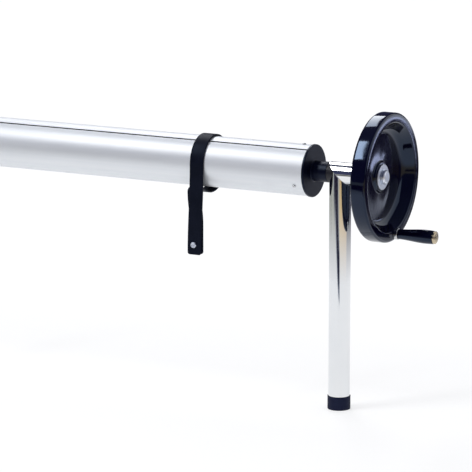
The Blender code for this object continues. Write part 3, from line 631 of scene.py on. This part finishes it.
def add_end_cap(side_name, side):
    """End cap with rounded flange, hub and spigot, and the screws that hold it."""
    face_x = MIDDLE_X + side * (ROLLER_LENGTH / 2 + CAP_FLANGE)
    spigot = ROLLER_RADIUS - ROLLER_WALL - GAP
    inside = spigot - CAP_WALL
    bore = SHAFT_RADIUS + GAP
    sleeve = bore + CAP_SLEEVE_WALL
    back = -CAP_FLANGE
    inner_end = back - CAP_SPIGOT
    turned(side_name + "_end_cap",
           [(bore, CAP_HUB_LENGTH), (CAP_HUB_RADIUS, CAP_HUB_LENGTH, 0.8 * MM), (CAP_HUB_RADIUS, 0, 2 * MM),
            (CAP_FLANGE_RADIUS, 0, 1.5 * MM), (CAP_FLANGE_RADIUS, back + GAP, 0.3 * MM),
            (spigot, back + GAP), (spigot, inner_end, 0.8 * MM), (inside, inner_end),
            (inside, back - CAP_WALL, 1.5 * MM), (sleeve, back - CAP_WALL, 1.5 * MM),
            (sleeve, inner_end), (bore, inner_end)],
           (face_x, 0, AXIS_HEIGHT), outwards(side), CAP_BLACK, "roller", "cap_black", 144)

    screw_x = MIDDLE_X + side * (ROLLER_LENGTH / 2 - CAP_SCREW_FROM_END)
    seat = ROLLER_RADIUS + 0.1 * MM
    top = seat + CAP_SCREW_HEAD_HEIGHT
    sunk = top - CAP_SCREW_RECESS
    for number, angle in enumerate(CAP_SCREW_ANGLES):
        turned(f"{side_name}_cap_screw_{number + 1}",
               [(0, sunk), (CAP_SCREW_RECESS_RADIUS - 0.3 * MM, sunk, 0.2 * MM),
                (CAP_SCREW_RECESS_RADIUS, top, 0.2 * MM), (CAP_SCREW_HEAD_RADIUS, top, 1.5 * MM),
                (CAP_SCREW_HEAD_RADIUS, seat, 0.15 * MM), (CAP_SCREW_RADIUS, seat),
                (CAP_SCREW_RADIUS, inside), (0, inside)],
               (screw_x, 0, AXIS_HEIGHT), off_roller(angle), STEEL, facets=32)


def wheel_outline():
    """Section of the dished handwheel, heights measured from its hub's back face."""
    face = WHEEL_HUB_LENGTH
    front = face + WHEEL_DISH
    back = front - WHEEL_RIM_WIDTH
    rim_inside = WHEEL_RADIUS - WHEEL_RIM_DEPTH
    web_front = face - WHEEL_WEB_SINK
    web_back = web_front - WHEEL_WEB
    bowl_edge = rim_inside - WHEEL_BOWL_SLOPE
    bore = SHAFT_RADIUS + GAP
    return rounded([(bore, face, 0.4 * MM), (WHEEL_HUB_RADIUS, face, 1.5 * MM),
                    (WHEEL_HUB_RADIUS + 3 * MM, web_front, 3 * MM), (bowl_edge, web_front, 18 * MM),
                    (rim_inside, front, 4 * MM), (WHEEL_RADIUS, front, 4.5 * MM),
                    (WHEEL_RADIUS, back, 6 * MM), (rim_inside + 3 * MM, back, 2 * MM),
                    (bowl_edge + 7 * MM, web_back + 3 * MM, 5 * MM), (WHEEL_HUB_RADIUS, web_back, 5 * MM),
                    (WHEEL_HUB_BACK_RADIUS, 0, 1.5 * MM), (bore, 0, 0.4 * MM)])


def add_handwheel():
    """Handwheel, hub washer and hub bolt; tells where the handle goes."""
    wheel_x = RIGHT_POST_X + WHEEL_BACK
    wheel = new_object("handwheel_piece", lathe("handwheel", wheel_outline(), 240),
                       (wheel_x, 0, AXIS_HEIGHT), outwards(1))
    turn = math.radians(HANDLE_ANGLE)
    handle = (RIGHT_POST_X + WHEEL_FRONT, HANDLE_CENTRE_RADIUS * math.sin(turn),
              AXIS_HEIGHT - HANDLE_CENTRE_RADIUS * math.cos(turn))
    hole = drill(SPINDLE_STUD_RADIUS + GAP, -60 * MM, 30 * MM, handle, outwards(1), 48)
    shape = bmesh.new()
    bmesh.ops.create_cube(shape, size=1)
    bmesh.ops.scale(shape, vec=(0.3, KEYWAY_WIDTH, KEYWAY_HEIGHT), verts=shape.verts)
    keyway = new_object("keyway", close_shape(shape, "keyway"), (wheel_x, 0, AXIS_HEIGHT + KEYWAY_RISE))
    carve(wheel, hole, keyway)
    dress(wheel, WHEEL_BLACK, "roller", "gloss_black", "handwheel")

    hub = (RIGHT_POST_X, 0, AXIS_HEIGHT)
    low = HUB_FACE + GAP
    high = low + HUB_WASHER_THICKNESS
    turned("hub_washer",
           [(HUB_WASHER_BORE, high), (HUB_WASHER_RADIUS, high, 1 * MM),
            (HUB_WASHER_RADIUS, low, 0.3 * MM), (HUB_WASHER_BORE, low)],
           hub, outwards(1), BRIGHT_STEEL)

    low = high + GAP
    high = low + HUB_BOLT_HEAD_HEIGHT
    end = HUB_FACE - HUB_BOLT_REACH
    turned("hub_bolt",
           [(0, high), (HUB_BOLT_HEAD_RADIUS, high, 5.5 * MM), (HUB_BOLT_HEAD_RADIUS, low, 0.4 * MM),
            (HUB_BOLT_RADIUS, low), (HUB_BOLT_RADIUS, end), (0, end)],
           hub, outwards(1), BRIGHT_STEEL)
    return handle


def eased(start, end, share):
    """Value that leaves start and reaches end smoothly."""
    return start + (end - start) * (1 - math.cos(math.pi * share)) / 2


def grip_radius(share):
    """Radius of the grip at a share of its length, from the wheel outwards."""
    small, large, last, widest = 9.8 * MM, 13.4 * MM, 12.7 * MM, 0.78
    if share < widest:
        return eased(small, large, share / widest)
    past = (share - widest) / (1 - widest)
    return large + (last - large) * past * past


def add_handle(place):
    """Spindle with its collar and nut, the tapered grip and the disc on its end."""
    collar_end = GAP + SPINDLE_COLLAR
    shoulder = collar_end + GAP + GRIP_LENGTH + GAP
    neck_end = shoulder + SPINDLE_NECK_LENGTH
    rim_back = -WHEEL_RIM_WIDTH - GAP
    back = rim_back - SPINDLE_PAST_RIM
    turned("handle_spindle",
           [(0, neck_end), (SPINDLE_NECK_RADIUS, neck_end), (SPINDLE_NECK_RADIUS, shoulder),
            (SPINDLE_RADIUS, shoulder), (SPINDLE_RADIUS, collar_end),
            (SPINDLE_COLLAR_RADIUS, collar_end, 0.8 * MM), (SPINDLE_COLLAR_RADIUS, GAP, 0.8 * MM),
            (SPINDLE_STUD_RADIUS, GAP), (SPINDLE_STUD_RADIUS, back, 0.8 * MM), (0, back)],
           place, outwards(1), STEEL)
    nut = new_object("handle_nut_piece", nut_mesh(rim_back), place, outwards(1))
    dress(nut, STEEL, "roller", "steel", "handle_nut")

    low = shoulder + GAP
    high = low + END_CAP_HEIGHT
    hole = SPINDLE_NECK_RADIUS + GAP
    hole_end = low + SPINDLE_NECK_LENGTH + GAP
    turned("handle_end_cap",
           [(0, high), (0.7 * END_CAP_RADIUS, high - 0.78 * MM, 6 * MM),
            (END_CAP_RADIUS, low + END_CAP_RIM, 1 * MM), (END_CAP_RADIUS, low, 0.3 * MM),
            (hole, low), (hole, hole_end), (0, hole_end)],
           place, outwards(1), WARM_STEEL)

    low = collar_end + GAP
    bore = SPINDLE_RADIUS + GAP
    edge = 0.6 * MM
    rings = 48
    outline = [(bore, low + GRIP_LENGTH), (grip_radius(1) - edge, low + GRIP_LENGTH)]
    for step in range(rings + 1):
        share = 1 - step / rings
        inset = edge if step in (0, rings) else 0
        outline.append((grip_radius(share), low + GRIP_LENGTH * share + (inset if step else -inset)))
    outline += [(grip_radius(0) - edge, low), (bore, low)]
    grip = new_object("handle_grip_piece", lathe("grip", outline), place, outwards(1))
    dress(grip, GRIP_BLACK, "grip", "gloss_black", "handle_grip", smooth=50)


def nut_mesh(high):
    """Hexagon nut with chamfered corners and a bore, its upper face at a height."""
    shape = bmesh.new()
    around = 60
    reach = NUT_FLATS / 2
    low = high - NUT_THICKNESS
    loops = []
    for height in (high, high - NUT_CHAMFER, low + NUT_CHAMFER, low):
        loop = []
        for i in range(around):
            turn = math.tau * i / around
            local = (turn + math.pi / 6) % (math.pi / 3) - math.pi / 6
            radius = reach / math.cos(local)
            if height in (high, low):
                radius = min(radius, reach * 0.99)
            loop.append(shape.verts.new((radius * math.cos(turn), radius * math.sin(turn), height)))
        loops.append(loop)
    bore = SPINDLE_STUD_RADIUS + GAP
    for height in (low, high):
        loops.append([shape.verts.new((x, y, height)) for x, y in circle(bore, around)])
    for one, other in zip(loops, loops[1:] + loops[:1]):
        join_loops(shape, one, other)
    return close_shape(shape, "nut")


def curve_point(controls, share):
    """Point on a cubic curve with four control points."""
    rest = 1 - share
    weights = (rest ** 3, 3 * share * rest ** 2, 3 * share ** 2 * rest, share ** 3)
    return [sum(weight * control[axis] for weight, control in zip(weights, controls))
            for axis in range(2)]


def strap_stations():
    """Middle line of a strap as (aside, y, z) about the roller axis, up the front tail and round."""
    radius = STRAP_MIDDLE_RADIUS
    loop_aside, tail_aside, bend_aside, back_aside = 1 * MM, -4.4 * MM, -6 * MM, -1.5 * MM
    stations = []
    tail_steps = 24
    for step in range(tail_steps):
        share = step / tail_steps
        stations.append((eased(tail_aside, loop_aside, share), -radius, -STRAP_TAIL_DROP * (1 - share)))
    loop_steps = 80
    for step in range(loop_steps + 1):
        angle = math.radians(STRAP_LEAVES_AT * step / loop_steps)
        reach = radius + STRAP_LIFT * math.sin(angle) ** 2
        stations.append((loop_aside, -reach * math.cos(angle), reach * math.sin(angle)))
    behind = STRAP_LAYER_STEP - radius
    under = -STRAP_SLACK_DROP
    turns_at = -STRAP_TURN_DROP
    bend = STRAP_BEND_RADIUS
    lowest = (-0.15 * radius, under)
    curves = ((stations[-1][1:], (0.6 * radius, 0.75 * under), (0.3 * radius, under), lowest),
              (lowest, (-0.42 * radius, under), (-0.64 * radius, turns_at), (behind + bend, turns_at)))
    slack_steps = 20
    for number, controls in enumerate(curves):
        for step in range(1, slack_steps + 1):
            share = step / slack_steps
            stations.append((eased(loop_aside, bend_aside, (number + share) / 2),
                             *curve_point(controls, share)))
    bend_steps = 14
    for step in range(1, bend_steps + 1):
        angle = math.pi / 2 * step / bend_steps
        stations.append((bend_aside, behind + bend * (1 - math.sin(angle)),
                         turns_at - bend * (1 - math.cos(angle))))
    settles_from = bend - turns_at
    settle_steps = 14
    for step in range(1, settle_steps + 1):
        share = step / settle_steps
        stations.append((eased(bend_aside, back_aside, share), behind,
                         -settles_from - (STRAP_SETTLES_AT - settles_from) * share))
    end_steps = 6
    for step in range(1, end_steps + 1):
        stations.append((back_aside, behind,
                         -STRAP_SETTLES_AT - (STRAP_BACK_TAIL_DROP - STRAP_SETTLES_AT) * step / end_steps))
    return [Vector(station) for station in stations]


def with_ends(stations, corner):
    """Adds close stations at both ends, each with how much narrower the strap is there."""
    lengths = [0.0]
    for one, other in zip(stations, stations[1:]):
        lengths.append(lengths[-1] + (other - one).length)
    whole = lengths[-1]
    places = [corner * (1 - math.cos(math.pi / 2 * step / 6)) for step in range(7)]
    wanted = places + [length for length in lengths if 1.5 * corner < length < whole - 1.5 * corner]
    wanted += [whole - place for place in reversed(places)]
    result = []
    index = 0
    for length in wanted:
        while index < len(lengths) - 2 and lengths[index + 1] < length:
            index += 1
        share = (length - lengths[index]) / (lengths[index + 1] - lengths[index])
        point = stations[index].lerp(stations[index + 1], min(max(share, 0), 1))
        from_end = min(length, whole - length)
        narrower = 0.0
        if from_end < corner:
            narrower = corner - math.sqrt(corner ** 2 - (corner - from_end) ** 2)
        result.append((point, narrower, from_end))
    return result


def strap_mesh():
    """Flat strap with rounded edges and rounded corners at both ends."""
    shape = bmesh.new()
    stations = with_ends(strap_stations(), STRAP_END_CORNER)
    points = [station[0] for station in stations]
    across = Vector((1, 0, 0))
    rings = []
    for index, (point, narrower, from_end) in enumerate(stations):
        before = points[max(index - 1, 0)]
        after = points[min(index + 1, len(points) - 1)]
        along = (after - before).normalized()
        out = Vector((0, along.y, along.z)).normalized().cross(across)
        thin = STRAP_THICKNESS / 2
        if from_end < STRAP_EDGE:
            thin += math.sqrt(STRAP_EDGE ** 2 - (STRAP_EDGE - from_end) ** 2) - STRAP_EDGE
        loop = edge_loop(STRAP_WIDTH / 2 - narrower, thin, min(STRAP_EDGE, thin * 0.98))
        rings.append([shape.verts.new(point + across * x + out * y) for x, y in loop])
    for one, other in zip(rings, rings[1:]):
        join_loops(shape, one, other)
    shape.faces.new(rings[0])
    shape.faces.new(list(reversed(rings[-1])))
    return close_shape(shape, "strap")


def edge_loop(width, thin, corner):
    """Section of the strap: a flat bar with rounded edges and a few points across its faces."""
    loop = []
    for side_x, side_y, start in ((1, 1, 0), (-1, 1, 1), (-1, -1, 2), (1, -1, 3)):
        for step in range(5):
            angle = math.pi / 2 * (start + step / 4)
            loop.append((side_x * (width - corner) + corner * math.cos(angle),
                         side_y * (thin - corner) + corner * math.sin(angle)))
        if start in (0, 2):
            for step in range(1, 6):
                loop.append((side_x * (width - corner) * (1 - 2 * step / 6), side_y * thin))
    return loop


def add_strap(number, x):
    """Strap and the two halves of its snap."""
    name = f"strap_{number}"
    strap = new_object(name + "_piece", strap_mesh(), (x, 0, AXIS_HEIGHT))
    snap_place = (x + SNAP_ASIDE, 0, AXIS_HEIGHT - SNAP_DROP)
    bore = SNAP_SHANK_RADIUS + GAP
    carve(strap, drill(bore, 30 * MM, 70 * MM, snap_place, off_roller(0), 24))
    dress(strap, STRAP_RUBBER, "roller", "strap_rubber", name, smooth=50)

    front = STRAP_MIDDLE_RADIUS + STRAP_THICKNESS / 2
    low = front + 0.1 * MM
    high = front + GAP + SNAP_HEIGHT
    sunk = high - 0.5 * MM
    socket_high = STRAP_MIDDLE_RADIUS - STRAP_LAYER_STEP - STRAP_THICKNESS / 2 - GAP
    socket_low = socket_high - SNAP_HEIGHT
    socket_floor = socket_low + 0.8 * MM
    turned(name + "_snap_cap",
           [(0, sunk), (3.3 * MM, sunk, 0.4 * MM), (4 * MM, high, 0.3 * MM),
            (SNAP_CAP_RADIUS, high, 1.5 * MM), (SNAP_CAP_RADIUS, low, 0.3 * MM),
            (SNAP_SHANK_RADIUS, low), (SNAP_SHANK_RADIUS, socket_low), (0, socket_low)],
           snap_place, off_roller(0), BRIGHT_STEEL, facets=48)
    turned(name + "_snap_socket",
           [(bore, socket_high), (SNAP_SOCKET_RADIUS, socket_high, 0.3 * MM),
            (SNAP_SOCKET_RADIUS, socket_low, 0.6 * MM), (3.4 * MM, socket_low, 0.3 * MM),
            (3 * MM, socket_floor, 0.2 * MM), (bore, socket_floor)],
           snap_place, off_roller(0), STEEL, facets=48)


def smooth_by_angle():
    """Node group that shades a carried-over CAD node smooth except over its sharp edges."""
    group = bpy.data.node_groups.new("smooth_by_angle", "GeometryNodeTree")
    for way in ("INPUT", "OUTPUT"):
        group.interface.new_socket("Geometry", in_out=way, socket_type="NodeSocketGeometry")
    start = add_node(group, "NodeGroupInput")
    angle = add_node(group, "GeometryNodeInputMeshEdgeAngle").outputs["Unsigned Angle"]
    soft = add_node(group, "FunctionNodeCompare", {0: angle, 1: math.radians(32)}, operation="LESS_THAN")
    faces = add_node(group, "GeometryNodeSetShadeSmooth", {"Geometry": start.outputs[0]})
    edges = add_node(group, "GeometryNodeSetShadeSmooth",
                     {"Geometry": faces.outputs["Geometry"], "Shade Smooth": soft.outputs[0]}, domain="EDGE")
    add_node(group, "NodeGroupOutput", {0: edges.outputs["Geometry"]})
    return group


def dress_node(name, material, group):
    """Gives a carried-over CAD node its material and smooth shading."""
    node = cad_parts[name]
    if node.material_slots:
        for slot in node.material_slots:
            slot.material = material
    else:
        node.data.materials.append(material)
    node.modifiers.new("smooth", "NODES").node_group = group


def softbox(name, direction, along, width, height, radiance):
    """Softbox that faces the stand from a direction; radiance is how bright its face looks."""
    lamp = bpy.data.lights.new(name, "AREA")
    lamp.shape = "RECTANGLE"
    lamp.size = width
    lamp.size_y = height
    lamp.energy = radiance * math.pi * width * height
    away = Vector(direction).normalized()
    across = Vector(along).cross(away).normalized()
    turn = Matrix((across, away.cross(across), away)).transposed()
    place = Vector((RIGHT_POST_X, 0, AXIS_HEIGHT)) + away * SOFTBOX_DISTANCE
    new_object(name, lamp, place, turn.to_euler()).visible_camera = False


def azimuth_of(tree, x, y):
    """Angle in degrees about the vertical, from the front (-Y) towards +X."""
    turned = arithmetic(tree, "ARCTAN2", x, arithmetic(tree, "MULTIPLY", y, -1.0))
    return arithmetic(tree, "MULTIPLY", turned, 180 / math.pi)


def plain_view(tree):
    """One for the rays that show the plain white background: camera, glossy and transmission."""
    path = add_node(tree, "ShaderNodeLightPath")
    seen = arithmetic(tree, "MAXIMUM", path.outputs["Is Camera Ray"], path.outputs["Is Glossy Ray"])
    return arithmetic(tree, "MAXIMUM", seen, path.outputs["Is Transmission Ray"])


def studio_world():
    """White to the camera, in metal and through glass, and a soft even light to everything."""
    world = bpy.data.worlds.new("studio")
    world.use_nodes = True
    tree = world.node_tree
    tree.nodes.clear()
    even = add_node(tree, "ShaderNodeBackground", {"Color": (0.55, 0.56, 0.60, 1), "Strength": 1.0})
    white = add_node(tree, "ShaderNodeBackground", {"Color": (1, 1, 1, 1), "Strength": 1.0})
    mix = add_node(tree, "ShaderNodeMixShader",
                   {0: plain_view(tree), 1: even.outputs[0], 2: white.outputs[0]})
    out = add_node(tree, "ShaderNodeOutputWorld")
    tree.links.new(mix.outputs[0], out.inputs["Surface"])
    bpy.context.scene.world = world


def studio_floor():
    """Pale floor that keeps the object's shadow."""
    shape = bmesh.new()
    bmesh.ops.create_grid(shape, x_segments=1, y_segments=1, size=60)
    floor = new_object("floor", close_shape(shape, "floor"), (0, 0, -0.3 * MM))
    made, tree = new_material("pale_floor")
    tree.nodes.remove(tree.nodes["Principled BSDF"])
    lit = add_node(tree, "ShaderNodeBsdfDiffuse", {"Color": (0.42, 0.42, 0.42, 1)})
    glow = add_node(tree, "ShaderNodeEmission", {"Color": (1, 1, 1, 1), "Strength": 0.64})
    both = add_node(tree, "ShaderNodeAddShader", {0: lit.outputs[0], 1: glow.outputs[0]})
    plain = add_node(tree, "ShaderNodeBsdfDiffuse", {"Color": (0.7, 0.7, 0.7, 1)})
    mix = add_node(tree, "ShaderNodeMixShader",
                   {0: plain_view(tree), 1: plain.outputs[0], 2: both.outputs[0]})
    tree.links.new(mix.outputs[0], tree.nodes["Material Output"].inputs["Surface"])
    floor.data.materials.append(made)


def flag(name, shape, paint):
    """Large studio flag that only reflections show; paint makes its colour from the flag's own place."""
    thing = new_object(name, close_shape(shape, name), (RIGHT_POST_X, 0, 0))
    made, tree = new_material(name)
    tree.nodes.remove(tree.nodes["Principled BSDF"])
    source = add_node(tree, "ShaderNodeTexCoord")
    colour = paint(tree, source.outputs["Object"])
    sheet = add_node(tree, "ShaderNodeEmission", {"Color": colour, "Strength": 1.0})
    tree.links.new(sheet.outputs[0], tree.nodes["Material Output"].inputs["Surface"])
    thing.data.materials.append(made)
    for kind in ("camera", "diffuse", "transmission", "shadow", "volume_scatter"):
        setattr(thing, "visible_" + kind, False)


def floor_flag_paint(tree, place):
    """White next to the stand; beyond it dark and warm sheets of painted reflection, each over its own range
    of azimuth.
    """
    split = add_node(tree, "ShaderNodeSeparateXYZ", {"Vector": place})
    reach = add_node(tree, "ShaderNodeVectorMath", {0: place}, operation="LENGTH").outputs["Value"]
    azimuth = azimuth_of(tree, split.outputs["X"], split.outputs["Y"])
    room = add_node(tree, "ShaderNodeValToRGB", {"Fac": spread(tree, azimuth, 0, 1, -180, 180)})
    paint_ramp(room.color_ramp, [((angle + 180) / 360, colour) for angle, colour in FLOOR_SHADES])
    beyond = spread(tree, reach, 0, 1, FLAG_NEAR, FLAG_FAR)
    return blend(tree, beyond, (0.98, 0.98, 1.0), room.outputs["Color"])


def sheet_paint(first, second, scale=3):
    """Paint of a sheet that puts painted shade, highlights and reflections into metal and gloss; its colour
    wanders between two.
    """
    return lambda tree, place: blend(tree, noise(tree, scale, 3), first, second)


def sheet_mesh(height, *outlines):
    """Flat sheets over the floor, each from its outline."""
    shape = bmesh.new()
    for outline in outlines:
        shape.faces.new([shape.verts.new((x, y, height)) for x, y in outline])
    return shape


def room_flag_paint(tree, place):
    """Dark blue-grey cloth, a little lighter overhead."""
    split = add_node(tree, "ShaderNodeSeparateXYZ", {"Vector": place})
    height = add_node(tree, "ShaderNodeValToRGB",
                      {"Fac": spread(tree, split.outputs["Z"], 0, 1, 0, ROOM_RADIUS)})
    paint_ramp(height.color_ramp, [(0, (0.05, 0.06, 0.12)), (0.5, (0.04, 0.045, 0.10)),
                                   (1, (0.10, 0.11, 0.16))])
    return height.outputs["Color"]


def floor_flag_mesh():
    """Ring on the floor, from near the stand out to the tent."""
    shape = bmesh.new()
    near, far = [[shape.verts.new((y, -x, 0)) for x, y in circle(radius, 96)]
                 for radius in (FLAG_NEAR, ROOM_RADIUS)]
    join_loops(shape, near, far)
    return shape


def tent_mesh():
    """Dome over everything, open where its window is."""
    shape = bmesh.new()
    rows, columns = 30, 72
    row_step, column_step = 90 / rows, 360 / columns
    places = {}
    for row in range(rows + 1):
        for column in range(columns):
            up, turn = math.radians(row_step * row), math.radians(column_step * column)
            reach = ROOM_RADIUS * math.cos(up)
            places[row, column] = shape.verts.new((reach * math.sin(turn), -reach * math.cos(turn),
                                                   ROOM_RADIUS * math.sin(up)))
    left, right = WINDOW_AZIMUTH
    for row in range(rows):
        for column in range(columns):
            if left <= column_step * column < right and WINDOW_SILL <= row_step * row < WINDOW_TOP:
                continue
            after = (column + 1) % columns
            shape.faces.new((places[row, column], places[row, after],
                             places[row + 1, after], places[row + 1, column]))
    bmesh.ops.remove_doubles(shape, verts=shape.verts, dist=1 * MM)
    return shape


def studio_flags():
    """Sheets on the floor that paint shade, highlights and reflections into the metal and gloss, and a dark
    tent with a window to the right, as a photographer hides lights.
    """
    flag("floor_flag", floor_flag_mesh(), floor_flag_paint)
    # painted shade: blue-grey fringe of the roller's shadow, seen only in reflections
    flag("painted_shadow_fringe", sheet_mesh(0.5 * MM, SHADOW_FRINGE_SHEET),
         sheet_paint((0.14, 0.17, 0.24), (0.26, 0.29, 0.36)))
    # painted shade: dark sheets for the roller's shadow in the post and a darker inner wall of the handwheel
    flag("painted_shade_sheets", sheet_mesh(1 * MM, ROLLER_SHADOW_SHEET, WHEEL_SHADE_SHEET),
         sheet_paint((0.006, 0.004, 0.018), (0.014, 0.010, 0.030)))
    # painted reflection: pale patches in the handwheel
    flag("painted_reflection_sheets", sheet_mesh(2 * MM, *WHEEL_REFLECTION_SHEETS),
         sheet_paint((1.20, 1.25, 1.45), (1.40, 1.45, 1.60), 2))
    # painted highlight: bright line in the handwheel
    flag("painted_highlight_sheet", sheet_mesh(3 * MM, WHEEL_HIGHLIGHT_SHEET), sheet_paint((2.6, 2.8, 3.9), (3.1, 3.3, 4.4), 2))
    flag("room_flag", tent_mesh(), room_flag_paint)


def paint_ramp(ramp, stops):
    """Fills a colour ramp from (position, colour) stops."""
    elements = ramp.elements
    while len(elements) > 1:
        elements.remove(elements[-1])
    for number, (position, colour) in enumerate(stops):
        element = elements[0] if number == 0 else elements.new(position)
        element.position = position
        element.color = (*colour, 1)


def add_camera():
    """Camera where the photograph was taken from."""
    azimuth, elevation = math.radians(CAMERA_AZIMUTH), math.radians(CAMERA_ELEVATION)
    back = Vector((math.sin(azimuth) * math.cos(elevation), -math.cos(azimuth) * math.cos(elevation),
                   math.sin(elevation)))
    lens = bpy.data.cameras.new("camera")
    lens.sensor_width = 36
    lens.lens = CAMERA_LENS
    lens.clip_end = 100
    camera = new_object("camera", lens, CAMERA_TARGET + back * CAMERA_DISTANCE)
    camera.rotation_mode = "QUATERNION"
    camera.rotation_quaternion = (-back).to_track_quat("-Z", "Y")
    bpy.context.scene.camera = camera


add_camera()
studio_world()
studio_floor()
studio_flags()
bpy.context.scene.view_settings.view_transform = "Standard"

for stand_name, stand_side, stand_x in (("right", 1, RIGHT_POST_X), ("left", -1, LEFT_POST_X)):
    add_stand(stand_name, stand_side, stand_x)
    add_outer_bush(stand_name, stand_side, stand_x, stand_side == -1)
    add_end_cap(stand_name, stand_side)
add_roller_tube()
add_handle(add_handwheel())
for strap_number, strap_x in enumerate(STRAP_PLACES):
    add_strap(strap_number + 1, strap_x)

smooth_group = smooth_by_angle()
for node_name in ("right_inner_bush", "left_inner_bush"):
    dress_node(node_name, NYLON, smooth_group)
for node_name in ("drive_shaft", "idle_shaft", "drive_shaft_pin", "idle_shaft_pin", "wheel_key"):
    dress_node(node_name, STEEL, smooth_group)

softbox("front_softbox", (-0.452, -0.499, 0.740), (0, 0.829, 0.559), width=1.4, height=5.6, radiance=13)
softbox("back_softbox", (-0.452, 0.537, 0.712), (0, 0.799, -0.602), width=1.6, height=6.1, radiance=6)
